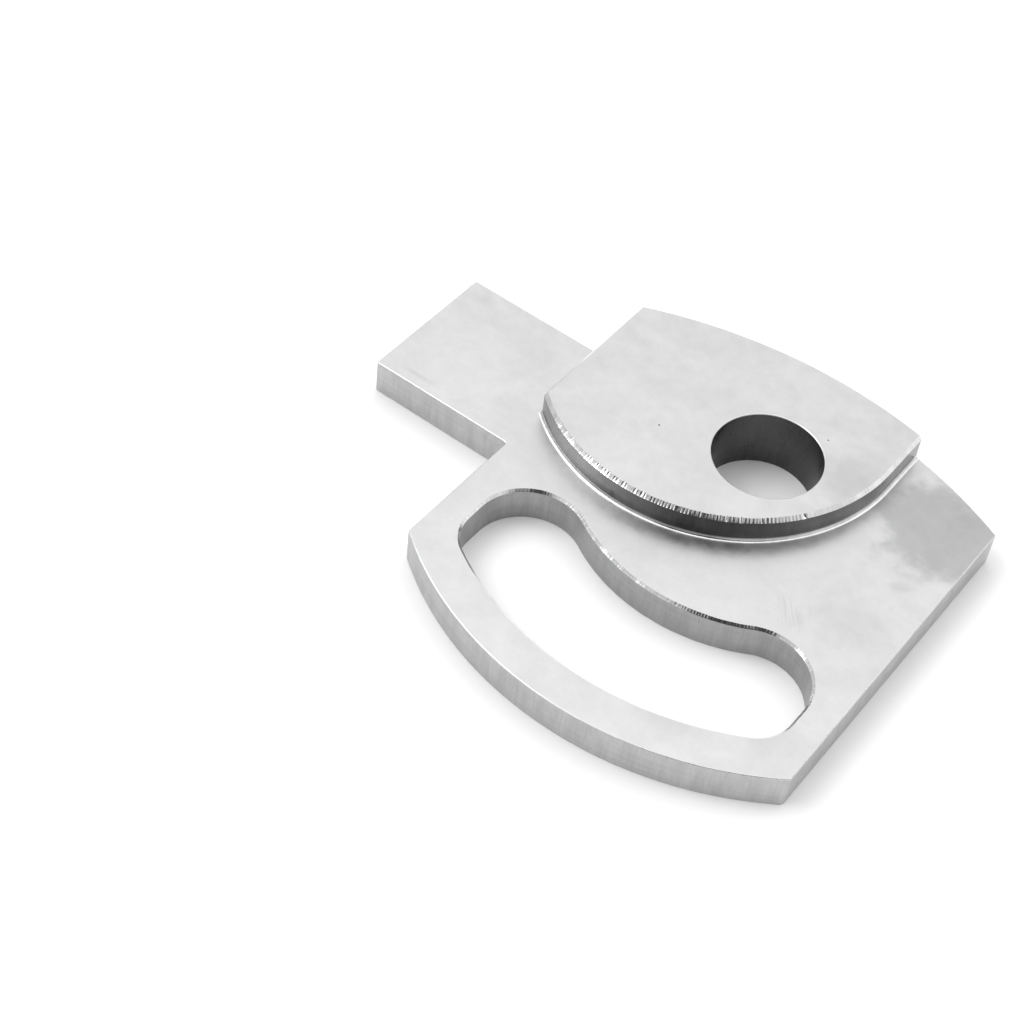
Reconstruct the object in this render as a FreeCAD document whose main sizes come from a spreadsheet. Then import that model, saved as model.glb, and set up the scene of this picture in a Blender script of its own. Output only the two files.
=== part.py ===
import FreeCAD, Part
import math
import os
import Sketcher

# Slotted sector plate milled from one billet of aluminium.
#
# Object frame (mm): origin on the bore axis at the underside, +Z up through
# the bore towards the raised pad, +Y towards the convex back edge, +X towards
# the plain right side. The tab points along -X.
#
#   plate   constant thickness, straight left and right sides, front edge an
#           arc about the bore axis, back edge a larger arc
#   tab     rectangular tongue on the left side, same thickness as the plate
#   boss    raised pad over the back of the plate, flush with its back edge
#           and just inside its left side, chamfered at the top and filleted
#           at the foot along its front arc, right side and left side
#   bore    one plain through-bore in plate and boss
#   slot    bean-shaped through-slot between the boss and the front edge

os.makedirs("parts", exist_ok=True)
doc = FreeCAD.newDocument("slotted_plate")

# ---------------------------------------------------------------- dimensions
DIMS = [
    ("half_width", 30.0, "bore axis to each straight side"),
    ("plate_thk", 5.5, "plate and tab thickness"),
    ("boss_rise", 4.0, "height of the boss above the plate"),
    ("front_radius", 50.0, "front edge, arc about the bore axis"),
    ("back_radius", 70.0, "back edge arc"),
    ("back_reach", 19.0, "bore axis to the crown of the back edge"),
    ("tab_reach", 53.0, "bore axis to the end of the tab"),
    ("tab_front", 18.8, "bore axis to the tab's front side"),
    ("tab_back", 3.9, "bore axis to the tab's back side"),
    ("tab_corner", 0.5, "inner corners where tab meets plate"),
    ("bore_dia", 15.5, "through-bore"),
    ("bore_break", 0.15, "edge break at both ends of the bore"),
    ("boss_right", 14.3, "bore axis to the boss's straight right side"),
    ("boss_left", 29.7, "bore axis to the boss's straight left side"),
    ("boss_arc_r", 26.5, "front arc of the boss"),
    ("boss_arc_y", 8.9, "height of that arc's centre behind the bore axis"),
    ("boss_chamfer", 0.5, "chamfer along the boss's front and right side"),
    ("boss_left_chamfer", 0.25, "chamfer along the boss's left side"),
    ("boss_fillet", 0.5, "fillet at the foot of the boss"),
    ("slot_inner_r", 27.0, "slot's inner arc, about the bore axis"),
    ("slot_outer_r", 44.0, "slot's outer arc, about the bore axis"),
    ("slot_half", 25.5, "bore axis to each end of the slot"),
    ("slot_lobe_r", 7.8, "rounded shoulders of the slot ends"),
    ("slot_corner_r", 6.0, "corners between slot ends and outer arc"),
    ("slot_chamfer", 0.35, "chamfer round the slot on the top face"),
    ("edge_break", 0.15, "light break on the other sharp edges"),
]
sheet = doc.addObject("Spreadsheet::Sheet", "dims")
for row, (alias, value, note) in enumerate(DIMS, start=1):
    sheet.set("A%d" % row, alias)
    sheet.set("B%d" % row, "%g mm" % value)
    sheet.set("C%d" % row, note)
    sheet.setAlias("B%d" % row, alias)
doc.recompute()
D = {alias: value for alias, value, _ in DIMS}

V = FreeCAD.Vector
UP = V(0, 0, 1)


def plane_of(body, role):
    for f in body.Origin.OriginFeatures:
        if getattr(f, "Role", "") == role:
            return f
    raise RuntimeError("no %s in %s" % (role, body.Name))


def new_sketch(body, name, height=None):
    sk = body.newObject("Sketcher::SketchObject", name)
    sk.AttachmentSupport = [(plane_of(body, "XY_Plane"), "")]
    sk.MapMode = "FlatFace"
    if height:
        sk.setExpression(".AttachmentOffset.Base.z", height)
    return sk


def line(sk, p, q):
    return sk.addGeometry(Part.LineSegment(V(p[0], p[1], 0), V(q[0], q[1], 0)), False)


def arc(sk, c, r, a0, a1):
    circ = Part.Circle(V(c[0], c[1], 0), UP, r)
    return sk.addGeometry(Part.ArcOfCircle(circ, math.radians(a0), math.radians(a1)), False)


def dim(sk, name, expr, *args):
    i = sk.addConstraint(Sketcher.Constraint(*args))
    sk.renameConstraint(i, name)
    sk.setExpression("Constraints." + name, expr)
    return i


def con(sk, *args):
    return sk.addConstraint(Sketcher.Constraint(*args))


ORIGIN = (-1, 1)

body = doc.addObject("PartDesign::Body", "slotted_plate_body")

W, FR, BR = D["half_width"], D["front_radius"], D["back_radius"]
TF, TB, TX, TR = D["tab_front"], D["tab_back"], D["tab_reach"], D["tab_corner"]
bcy = D["back_reach"] - BR
y_front = -math.sqrt(FR ** 2 - W ** 2)
y_back = bcy + math.sqrt(BR ** 2 - W ** 2)
a_f = math.degrees(math.atan2(y_front, W))
a_b = math.degrees(math.atan2(y_back - bcy, W))


def blank(sk, x0, x1, y0, y1, size):
    """A square about the origin, given by half its side."""
    g = [line(sk, (x0, y0), (x1, y0)), line(sk, (x1, y0), (x1, y1)),
         line(sk, (x1, y1), (x0, y1)), line(sk, (x0, y1), (x0, y0))]
    for i in range(4):
        con(sk, "Coincident", g[i], 2, g[(i + 1) % 4], 1)
    con(sk, "Horizontal", g[0])
    con(sk, "Horizontal", g[2])
    con(sk, "Vertical", g[1])
    con(sk, "Vertical", g[3])
    dim(sk, "low_x", size, "DistanceX", g[0], 1, ORIGIN[0], ORIGIN[1], -x0)
    dim(sk, "low_y", size, "DistanceY", g[0], 1, ORIGIN[0], ORIGIN[1], -y0)
    dim(sk, "high_x", size, "DistanceX", ORIGIN[0], ORIGIN[1], g[2], 1, x1)
    dim(sk, "high_y", size, "DistanceY", ORIGIN[0], ORIGIN[1], g[2], 1, y1)
    return g


# ----------------------------------------------------------------- the billet
# The top is milled to two levels first, and the outline is cut through both
# last, so boss and plate share one back face.
B = TX + 10
sk = new_sketch(body, "billet_outline")
blank(sk, -B, B, -B, B, "dims.tab_reach + 10 mm")
doc.recompute()
billet = body.newObject("PartDesign::Pad", "billet")
billet.Profile = sk
billet.setExpression("Length", "dims.plate_thk")
doc.recompute()

# --------------------------------------------------------------- boss outline
RX, LX, AR, AY = D["boss_right"], D["boss_left"], D["boss_arc_r"], D["boss_arc_y"]
acx = RX - AR
y_i = AY - math.sqrt(AR ** 2 - (LX + acx) ** 2)
y_top = D["back_reach"] + 5
a_i = math.degrees(math.atan2(y_i - AY, -LX - acx))

sk = new_sketch(body, "boss_outline", "dims.plate_thk")
b_front = arc(sk, (acx, AY), AR, a_i, 0)
b_right = line(sk, (RX, AY), (RX, y_top))
b_back = line(sk, (RX, y_top), (-LX, y_top))
b_left = line(sk, (-LX, y_top), (-LX, y_i))
con(sk, "Coincident", b_front, 2, b_right, 1)
con(sk, "Coincident", b_right, 2, b_back, 1)
con(sk, "Coincident", b_back, 2, b_left, 1)
con(sk, "Coincident", b_left, 2, b_front, 1)
con(sk, "Vertical", b_right)
con(sk, "Horizontal", b_back)
con(sk, "Vertical", b_left)
con(sk, "Horizontal", b_front, 3, b_front, 2)
dim(sk, "arc_r", "dims.boss_arc_r", "Radius", b_front, AR)
dim(sk, "arc_y", "dims.boss_arc_y", "DistanceY", ORIGIN[0], ORIGIN[1], b_front, 3, AY)
dim(sk, "right_x", "dims.boss_right", "DistanceX", ORIGIN[0], ORIGIN[1], b_right, 1, RX)
dim(sk, "left_x", "dims.boss_left", "DistanceX", b_left, 1, ORIGIN[0], ORIGIN[1], LX)
dim(sk, "back_y", "dims.back_reach + 5 mm", "DistanceY", ORIGIN[0], ORIGIN[1], b_back, 1, y_top)
doc.recompute()
boss = body.newObject("PartDesign::Pad", "boss")
boss.Profile = sk
boss.setExpression("Length", "dims.boss_rise")
doc.recompute()

T, H = D["plate_thk"], D["plate_thk"] + D["boss_rise"]
TOL = 1e-4


def edges(feature, test):
    """Names of the feature's edges that pass a test on (edge, midpoint)."""
    out = []
    for i, e in enumerate(feature.Shape.Edges, start=1):
        if getattr(e, "Degenerated", False):
            continue
        m = e.valueAt((e.FirstParameter + e.LastParameter) / 2)
        if test(e, m):
            out.append("Edge%d" % i)
    return out


def flat_at(e, z):
    b = e.BoundBox
    return abs(b.ZMin - z) < TOL and abs(b.ZMax - z) < TOL


def upright(e):
    b = e.BoundBox
    return b.XLength < 1e-3 and b.YLength < 1e-3 and b.ZLength > 1


def at_radius(m, r):
    return abs(math.hypot(m.x, m.y) - r) < 0.01


def dress(kind, name, base, names, prop, expr, count):
    if len(names) != count:
        raise RuntimeError("%s: %d edges found, %d wanted" % (name, len(names), count))
    f = body.newObject("PartDesign::" + kind, name)
    f.Base = (base, names)
    f.setExpression(prop, expr)
    doc.recompute()
    if not f.isValid() or f.Shape.isNull() or not f.Shape.isValid():
        raise RuntimeError("%s failed: %s" % (name, f.State))
    return f


def on_boss_side(m):
    """On the boss's front arc or right side."""
    if m.y < AY:
        return abs(math.hypot(m.x - acx, m.y - AY) - AR) < 0.01
    return abs(m.x - RX) < 0.01


def on_boss_left(m):
    return abs(m.x + LX) < 0.01 and m.y > y_i


# foot of the boss: front arc, right side and left side
foot = dress("Fillet", "boss_foot", boss,
             edges(boss, lambda e, m: flat_at(e, T) and (on_boss_side(m) or on_boss_left(m))),
             "Radius", "dims.boss_fillet", 3)

# ------------------------------------------------------ plate and tab outline
sk = new_sketch(body, "outline")
blank(sk, -B - 5, B + 5, -B - 5, B + 5, "dims.tab_reach + 15 mm")
g_front = arc(sk, (0, 0), FR, -180 - a_f, a_f)
g_right = line(sk, (W, y_front), (W, y_back))
g_back = arc(sk, (0, bcy), BR, a_b, 180 - a_b)
g_lb = line(sk, (-W, y_back), (-W, TB + TR))
g_cb = arc(sk, (-W - TR, TB + TR), TR, -90, 0)
g_tb = line(sk, (-W - TR, TB), (-TX, TB))
g_te = line(sk, (-TX, TB), (-TX, -TF))
g_tf = line(sk, (-TX, -TF), (-W - TR, -TF))
g_cf = arc(sk, (-W - TR, -TF - TR), TR, 0, 90)
g_lf = line(sk, (-W, -TF - TR), (-W, y_front))
con(sk, "Coincident", g_front, 3, *ORIGIN)
con(sk, "Coincident", g_front, 2, g_right, 1)
con(sk, "Coincident", g_right, 2, g_back, 1)
con(sk, "Coincident", g_back, 2, g_lb, 1)
con(sk, "Tangent", g_lb, 2, g_cb, 2)
con(sk, "Tangent", g_cb, 1, g_tb, 1)
con(sk, "Coincident", g_tb, 2, g_te, 1)
con(sk, "Coincident", g_te, 2, g_tf, 1)
con(sk, "Tangent", g_tf, 2, g_cf, 2)
con(sk, "Tangent", g_cf, 1, g_lf, 1)
con(sk, "Coincident", g_lf, 2, g_front, 1)
con(sk, "PointOnObject", g_back, 3, -2)
for g in (g_right, g_lb, g_te, g_lf):
    con(sk, "Vertical", g)
for g in (g_tb, g_tf):
    con(sk, "Horizontal", g)
dim(sk, "front_r", "dims.front_radius", "Radius", g_front, FR)
dim(sk, "back_r", "dims.back_radius", "Radius", g_back, BR)
dim(sk, "corner_rb", "dims.tab_corner", "Radius", g_cb, TR)
dim(sk, "corner_rf", "dims.tab_corner", "Radius", g_cf, TR)
dim(sk, "back_c", "dims.back_radius - dims.back_reach", "DistanceY", g_back, 3, ORIGIN[0], ORIGIN[1], -bcy)
dim(sk, "right_x", "dims.half_width", "DistanceX", ORIGIN[0], ORIGIN[1], g_right, 1, W)
dim(sk, "left_xf", "dims.half_width", "DistanceX", g_lf, 2, ORIGIN[0], ORIGIN[1], W)
dim(sk, "left_xb", "dims.half_width", "DistanceX", g_lb, 1, ORIGIN[0], ORIGIN[1], W)
dim(sk, "tab_x", "dims.tab_reach", "DistanceX", g_te, 1, ORIGIN[0], ORIGIN[1], TX)
dim(sk, "tab_yb", "dims.tab_back", "DistanceY", ORIGIN[0], ORIGIN[1], g_te, 1, TB)
dim(sk, "tab_yf", "dims.tab_front", "DistanceY", g_te, 2, ORIGIN[0], ORIGIN[1], TF)
doc.recompute()
profile = body.newObject("PartDesign::Pocket", "profile_cut")
profile.Profile = sk
profile.Type = 1
profile.Midplane = True
doc.recompute()
if not 80 < profile.Shape.BoundBox.XLength < 86:
    raise RuntimeError("the outline was not cut")

# ----------------------------------------------------------------------- bore
sk = new_sketch(body, "bore_outline")
g = sk.addGeometry(Part.Circle(V(0, 0, 0), UP, D["bore_dia"] / 2), False)
con(sk, "Coincident", g, 3, *ORIGIN)
dim(sk, "bore_d", "dims.bore_dia", "Diameter", g, D["bore_dia"])
doc.recompute()
vol = body.Shape.Volume
bore = body.newObject("PartDesign::Pocket", "bore")
bore.Profile = sk
bore.Type = 1
bore.Midplane = True
doc.recompute()
full = math.pi * (D["bore_dia"] / 2) ** 2 * (D["plate_thk"] + D["boss_rise"])
if abs(vol - body.Shape.Volume - full) > 0.01 * full:
    raise RuntimeError("bore does not pass right through")

# ----------------------------------------------------------------------- slot
SI, SO, SX = D["slot_inner_r"], D["slot_outer_r"], D["slot_half"]
LR, CR = D["slot_lobe_r"], D["slot_corner_r"]
lx = SX - LR
ly = -math.sqrt((SI + LR) ** 2 - lx ** 2)
cx = SX - CR
cy = -math.sqrt((SO - CR) ** 2 - cx ** 2)
a_l = math.degrees(math.atan2(ly, lx))
a_c = math.degrees(math.atan2(cy, cx))

sk = new_sketch(body, "slot_outline")
s_in = arc(sk, (0, 0), SI, -180 - a_l, a_l)
s_lr = arc(sk, (lx, ly), LR, 0, a_l + 180)
s_r = line(sk, (SX, ly), (SX, cy))
s_cr = arc(sk, (cx, cy), CR, a_c, 0)
s_out = arc(sk, (0, 0), SO, -180 - a_c, a_c)
s_cl = arc(sk, (-cx, cy), CR, 180, 180 - a_c)
s_l = line(sk, (-SX, cy), (-SX, ly))
s_ll = arc(sk, (-lx, ly), LR, -a_l, 180)
con(sk, "Coincident", s_in, 3, *ORIGIN)
con(sk, "Coincident", s_out, 3, *ORIGIN)
con(sk, "Tangent", s_in, 2, s_lr, 2)
con(sk, "Tangent", s_lr, 1, s_r, 1)
con(sk, "Tangent", s_r, 2, s_cr, 2)
con(sk, "Tangent", s_cr, 1, s_out, 2)
con(sk, "Tangent", s_out, 1, s_cl, 2)
con(sk, "Tangent", s_cl, 1, s_l, 1)
con(sk, "Tangent", s_l, 2, s_ll, 2)
con(sk, "Tangent", s_ll, 1, s_in, 1)
con(sk, "Vertical", s_r)
con(sk, "Vertical", s_l)
dim(sk, "inner_r", "dims.slot_inner_r", "Radius", s_in, SI)
dim(sk, "outer_r", "dims.slot_outer_r", "Radius", s_out, SO)
dim(sk, "lobe_rr", "dims.slot_lobe_r", "Radius", s_lr, LR)
dim(sk, "lobe_rl", "dims.slot_lobe_r", "Radius", s_ll, LR)
dim(sk, "corner_rr", "dims.slot_corner_r", "Radius", s_cr, CR)
dim(sk, "corner_rl", "dims.slot_corner_r", "Radius", s_cl, CR)
dim(sk, "end_r", "dims.slot_half", "DistanceX", ORIGIN[0], ORIGIN[1], s_r, 1, SX)
dim(sk, "end_l", "dims.slot_half", "DistanceX", s_l, 1, ORIGIN[0], ORIGIN[1], SX)
doc.recompute()
vol = body.Shape.Volume
slot = body.newObject("PartDesign::Pocket", "slot")
slot.Profile = sk
slot.Type = 1
slot.Midplane = True
doc.recompute()
cut = (vol - body.Shape.Volume) / D["plate_thk"]
if not 750 < cut < 1000:
    raise RuntimeError("slot area %.1f mm2 is out of range" % cut)


# -------------------------------------------------------------- edge dressing
def in_slot(m):
    return (abs(m.x) < SX + 0.01 and m.y < -SI * math.sin(math.radians(-a_l)) + LR
            and SI - 0.01 < math.hypot(m.x, m.y) < SO + 0.01)


def on_outline(m):
    """On the outer outline of plate and tab."""
    near = D["edge_break"]
    return (abs(math.hypot(m.x, m.y) - FR) < near or abs(abs(m.x) - W) < near
            or abs(math.hypot(m.x, m.y - bcy) - BR) < near or abs(m.x + TX) < near
            or (m.x < -W and min(abs(m.y - TB), abs(m.y + TF)) < near))


# upright corners of plate and tab
f = dress("Chamfer", "corner_breaks", slot,
          edges(slot, lambda e, m: upright(e) and (
              (abs(abs(m.x) - W) < 0.01 and abs(m.y - y_front) < 0.01)
              or (abs(m.x - W) < 0.01 and abs(m.y - y_back) < 0.01)
              or abs(m.x + TX) < 0.01)),
          "Size", "dims.edge_break", 5)
# working chamfer round the boss's front and right side
f = dress("Chamfer", "boss_top_chamfer", f,
          edges(f, lambda e, m: flat_at(e, H) and on_boss_side(m)),
          "Size", "dims.boss_chamfer", 2)
# chamfer round the slot, top face
f = dress("Chamfer", "slot_top_chamfer", f,
          edges(f, lambda e, m: flat_at(e, T) and in_slot(m)),
          "Size", "dims.slot_chamfer", 8)
# bore mouths
f = dress("Chamfer", "bore_breaks", f,
          edges(f, lambda e, m: (flat_at(e, H) or flat_at(e, 0)) and at_radius(e.CenterOfMass, 0)
                and abs(e.Length - math.pi * D["bore_dia"]) < 0.01),
          "Size", "dims.bore_break", 2)
# underside: outline and slot
f = dress("Chamfer", "underside_breaks", f,
          edges(f, lambda e, m: flat_at(e, 0)
                and abs(e.Length - math.pi * (D["bore_dia"] + 2 * D["bore_break"])) > 0.01),
          "Size", "dims.edge_break", 23)
# top face of the plate and tab; where the foot fillet runs out on the tab
# there is no sharp edge to break
f = dress("Chamfer", "plate_top_breaks", f,
          edges(f, lambda e, m: flat_at(e, T) and on_outline(m)
                and abs(m.x + LX + D["boss_fillet"]) > 0.01),
          "Size", "dims.edge_break", 14)
# left side of the boss, then its back edge
f = dress("Chamfer", "boss_left_top", f,
          edges(f, lambda e, m: flat_at(e, H) and on_boss_left(m)),
          "Size", "dims.boss_left_chamfer", 1)
f = dress("Chamfer", "boss_back_break", f,
          edges(f, lambda e, m: flat_at(e, H) and abs(math.hypot(m.x, m.y - bcy) - BR) < 0.01),
          "Size", "dims.edge_break", 1)
body.Tip = f
doc.recompute()

# ------------------------------------------------------- checks, then the file
for o in doc.Objects:
    if "Invalid" in o.State or "Error" in o.State:
        raise RuntimeError("%s is %s" % (o.Name, o.State))
shape = body.Shape
if shape.isNull() or not shape.isValid() or len(shape.Solids) != 1:
    raise RuntimeError("slotted_plate is not one valid solid")
b = shape.BoundBox
print("slotted_plate  x %.2f..%.2f  y %.2f..%.2f  z %.2f..%.2f  volume %.1f mm3"
      % (b.XMin, b.XMax, b.YMin, b.YMax, b.ZMin, b.ZMax, shape.Volume))
shape.exportStep("parts/slotted_plate.step")
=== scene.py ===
import math
import bpy
import bmesh
import numpy as np
from mathutils import Matrix, Vector
from mathutils.geometry import delaunay_2d_cdt


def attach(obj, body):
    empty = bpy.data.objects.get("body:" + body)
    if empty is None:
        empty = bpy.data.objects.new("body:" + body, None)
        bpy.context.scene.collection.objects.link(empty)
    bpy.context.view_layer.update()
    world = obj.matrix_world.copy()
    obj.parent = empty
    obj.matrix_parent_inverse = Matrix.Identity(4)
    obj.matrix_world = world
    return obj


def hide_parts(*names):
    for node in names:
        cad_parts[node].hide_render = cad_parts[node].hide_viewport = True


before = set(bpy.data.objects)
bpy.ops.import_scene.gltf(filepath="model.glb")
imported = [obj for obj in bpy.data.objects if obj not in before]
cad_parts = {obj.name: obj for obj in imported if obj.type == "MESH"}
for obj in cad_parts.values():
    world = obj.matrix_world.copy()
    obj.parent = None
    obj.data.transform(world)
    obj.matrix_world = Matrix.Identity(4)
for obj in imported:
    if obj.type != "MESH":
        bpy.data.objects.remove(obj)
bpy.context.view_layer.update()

scene = bpy.context.scene
RNG = np.random.default_rng(20)

# ===================================================================== sizes
# All in millimetres, in the row frame; turned into metres when the mesh is made.
W, FR, BR, REACH = 30.0, 50.0, 70.0, 19.0
T, H = 5.5, 9.5
TX, TF, TB, TR = 53.0, 18.8, 3.9, 0.5
BORE_R = 7.75
RX, LX, AR, AY = 14.3, 29.7, 26.5, 8.9
CH, CHL, FIL = 0.5, 0.25, 0.5
SI, SO, SX, LR, CR, SCH = 27.0, 44.0, 25.5, 7.8, 6.0, 0.35
BK = 0.15
BCY = REACH - BR
ACX = RX - AR
YF = -math.sqrt(FR ** 2 - W ** 2)
YB = BCY + math.sqrt(BR ** 2 - W ** 2)
YI = AY - math.sqrt(AR ** 2 - (LX + ACX) ** 2)

# materials of the mesh, by index
M_PLATE, M_BOSS, M_UNDER, M_OUTER, M_SLOT, M_BORE, M_BWALL, M_BCH, M_SCH, M_FIL, M_BREAK = range(11)


def smooth(a, b, x):
    t = np.clip((np.asarray(x, float) - a) / (b - a), 0, 1)
    return t * t * (3 - 2 * t)


def bump(x, c, w):
    return np.exp(-((np.asarray(x, float) - c) / w) ** 2)


# ============================================================== mesh builder
class Build:
    def __init__(self):
        self.v, self.f, self.m, self.a = [], [], [], []
        self.n = 0

    def add(self, pts, along):
        pts = np.asarray(pts, float).reshape(-1, 3)
        self.v.append(pts)
        self.a.append(np.broadcast_to(np.asarray(along, float), (len(pts),)).copy())
        i = self.n + np.arange(len(pts))
        self.n += len(pts)
        return i

    def strip(self, grid, along, mat, closed=False):
        """grid[column][row] of points; neighbouring columns and rows are joined."""
        g = np.asarray(grid, float)
        nc, nr = g.shape[:2]
        idx = self.add(g, np.repeat(np.asarray(along, float), nr)).reshape(nc, nr)
        mats = np.broadcast_to(np.asarray(mat), (nr - 1,))
        for c in range(nc if closed else nc - 1):
            d = (c + 1) % nc
            for r in range(nr - 1):
                self.f.append((idx[c, r], idx[d, r], idx[d, r + 1], idx[c, r + 1]))
                self.m.append(int(mats[r]))

    def tris(self, pts, tri, mat, along=0.0):
        idx = self.add(pts, along)
        for t in tri:
            self.f.append(tuple(idx[list(t)]))
            self.m.append(mat)


def inside(poly, p):
    """Points p that are inside the closed polygon."""
    x, y = p[:, 0][:, None], p[:, 1][:, None]
    a, b = poly, np.roll(poly, -1, 0)
    ax, ay, bx, by = a[:, 0], a[:, 1], b[:, 0], b[:, 1]
    cond = (ay > y) != (by > y)
    with np.errstate(divide="ignore", invalid="ignore"):
        xi = ax + (y - ay) * (bx - ax) / (by - ay)
    return (np.sum(cond & (x < xi), 1) % 2) == 1


def fill(outer, holes=(), extra=()):
    """Triangles of a flat region, with holes, and with extra points inside."""
    loops = [np.asarray(outer, float)] + [np.asarray(h, float) for h in holes]
    pts, edges, n = [], [], 0
    for lp in loops:
        pts.append(lp)
        edges += [(n + i, n + (i + 1) % len(lp)) for i in range(len(lp))]
        n += len(lp)
    if len(extra):
        pts.append(np.asarray(extra, float))
    p = np.concatenate(pts)
    v, _, f, ov, _, _ = delaunay_2d_cdt([Vector(q) for q in p], edges, [], 0, 1e-7)
    v = np.array([(q.x, q.y) for q in v])
    for k, src in enumerate(ov):
        if src:
            v[k] = p[src[0]]
    f = np.array(f)
    c = v[f].mean(1)
    keep = inside(loops[0], c)
    for h in loops[1:]:
        keep &= ~inside(h, c)
    return v, f[keep]


def mitre(p, closed):
    """Outward mitre vectors of a polyline that runs counter-clockwise."""
    p = np.asarray(p, float)
    if closed:
        d1, d2 = p - np.roll(p, 1, 0), np.roll(p, -1, 0) - p
    else:
        d = np.diff(p, axis=0)
        d1, d2 = np.vstack([d[:1], d]), np.vstack([d, d[-1:]])
    n1 = np.c_[d1[:, 1], -d1[:, 0]] / np.linalg.norm(d1, axis=1)[:, None]
    n2 = np.c_[d2[:, 1], -d2[:, 0]] / np.linalg.norm(d2, axis=1)[:, None]
    return (n1 + n2) / (1 + np.sum(n1 * n2, 1))[:, None]


def seg(p, q, step):
    n = max(1, int(math.ceil(math.hypot(q[0] - p[0], q[1] - p[1]) / step)))
    t = np.linspace(0, 1, n + 1)[:, None]
    return np.asarray(p, float) * (1 - t) + np.asarray(q, float) * t


def arc(c, r, a0, a1, step):
    n = max(2, int(math.ceil(abs(a1 - a0) * r / step)))
    a = np.linspace(a0, a1, n + 1)
    return np.c_[c[0] + r * np.cos(a), c[1] + r * np.sin(a)]


def join(parts):
    out = [parts[0]]
    for p in parts[1:]:
        out.append(p[1:])
    return np.vstack(out)


def length_along(p):
    d = np.linalg.norm(np.diff(p, axis=0), axis=1)
    return np.r_[0, np.cumsum(d)]


ROWS = np.radians([0, 30, 60, 90])      # rows of a rounded edge break


def back_y(x, inset=0.0):
    return BCY + np.sqrt((BR - inset) ** 2 - np.asarray(x, float) ** 2)


# ============================================================ chatter marks
def ticks(total, pitch, jitter, rng):
    s, out = 0.0, []
    while s < total + 2 * pitch:
        out.append(s)
        s += pitch * (1 + jitter * (rng.random() - 0.5) * 2)
    return np.array(out)


def scallops(s, t, depth):
    """Cusped hollows between tick positions t, of the given depths."""
    k = np.clip(np.searchsorted(t, s, side="right") - 1, 0, len(t) - 2)
    u = (s - t[k]) / (t[k + 1] - t[k])
    return -depth[k] * (1 - (2 * u - 1) ** 2), k, u


b = Build()

# ============================================================= outer outline
E = BK
c1 = (W - E * 0.42, float(back_y(W - E * 0.42)))     # back right corner, on the back arc
c1r = (W, YB - E)                                   # ... and on the right side
af = math.atan2(YF, W)
da = E / FR
fa = arc((0, 0), FR, -math.pi - af + da, af - da, 0.25)
left_top = seg((-W, YB), (-W, TB + TR), 0.3)
FX = -LX - FIL                                      # outer line of the left foot fillet
TH_J = -math.acos((FX + W + TR) / (TR + BK))        # where the tab corner crosses that line
tab_c1 = join([arc((-W - TR, TB + TR), TR, 0, TH_J, 0.03), arc((-W - TR, TB + TR), TR, TH_J, -math.pi / 2, 0.03)])
i_join = len(left_top) - 1 + max(2, int(math.ceil(abs(TH_J) * TR / 0.03)))
tab_back = seg((-W - TR, TB), (-TX + E, TB), 0.5)
tab_k1 = seg((-TX + E, TB), (-TX, TB - E), 1)
tab_end = seg((-TX, TB - E), (-TX, -TF + E), 0.5)
tab_k2 = seg((-TX, -TF + E), (-TX + E, -TF), 1)
tab_front = seg((-TX + E, -TF), (-W - TR, -TF), 0.5)
tab_c2 = arc((-W - TR, -TF - TR), TR, math.pi / 2, 0, 0.05)
left_low = seg((-W, -TF - TR), (-W, YF + E), 0.4)
k_fl = seg((-W, YF + E), fa[0], 1)
k_fr = seg(fa[-1], (W, YF + E), 1)
right = seg((W, YF + E), c1r, 0.4)
k_br = seg(c1r, c1, 1)
rim = join([left_top, tab_c1, tab_back, tab_k1, tab_end, tab_k2, tab_front, tab_c2,
            left_low, k_fl, fa, k_fr, right, k_br])
n_rim = len(rim)                                    # rim[0] back left, rim[-1] back right
x_back = np.linspace(c1[0], -W, 260)
# the back wall's own columns, with the profile's corners among them
back = np.c_[x_back, back_y(x_back)]
loop = np.vstack([rim, back[1:-1]])
nv = mitre(loop, True)
s_loop = length_along(np.vstack([loop, loop[:1]]))[:-1]

# ------------------------------------------------- underside edge, all round
grid = []
for p, n in zip(loop, nv):
    col = []
    for a in ROWS:
        e, z = BK * (1 - math.sin(a)), BK * (1 - math.cos(a))
        col.append((p[0] - n[0] * e, p[1] - n[1] * e, z))
    grid.append(col)
b.strip(grid, s_loop, M_BREAK, closed=True)
under_outer = loop - nv * BK

# --------------------------------------- walls and top break, all but the back
def fillet_z(x):
    """Height of the left foot fillet over x, where x is between its two lines."""
    d = np.clip(np.asarray(x, float) - FX, 0, FIL)
    return T + FIL - np.sqrt(np.maximum(FIL ** 2 - d ** 2, 0))


Z_LEDGE = float(fillet_z(-W + BK))
top_in = rim - nv[:n_rim] * BK
y_join = TB + TR - math.sqrt((TR + BK) ** 2 - (FX + W + TR) ** 2)
top_in[i_join] = (FX, y_join)
top_in[0] = (-W + BK, float(back_y(-W + BK, BK)))
zt = np.full(n_rim, T)
bz = np.full(n_rim, BK)
n_left = len(left_top)
for i in range(n_left + len(tab_c1) - 1):
    if top_in[i, 0] > FX + 1e-6:
        zt[i] = float(fillet_z(top_in[i, 0]))
        bz[i] = BK + (zt[i] - T) * (Z_LEDGE - 5.392 - BK) / (Z_LEDGE - T)
WALL_ROWS = np.array([0.0, 0.06, 0.5, 0.94, 1.0])
grid, along = [], []
for i in range(n_rim):
    p, n = rim[i], nv[i]
    z1 = zt[i] - bz[i]
    col = [(p[0], p[1], BK + (z1 - BK) * u) for u in WALL_ROWS]
    for a in ROWS[::-1][1:]:
        e, z = 1 - math.sin(a), zt[i] - bz[i] * (1 - math.cos(a))
        col.append((p[0] + (top_in[i, 0] - p[0]) * e, p[1] + (top_in[i, 1] - p[1]) * e, z))
    grid.append(col)
    along.append(s_loop[i])
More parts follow.
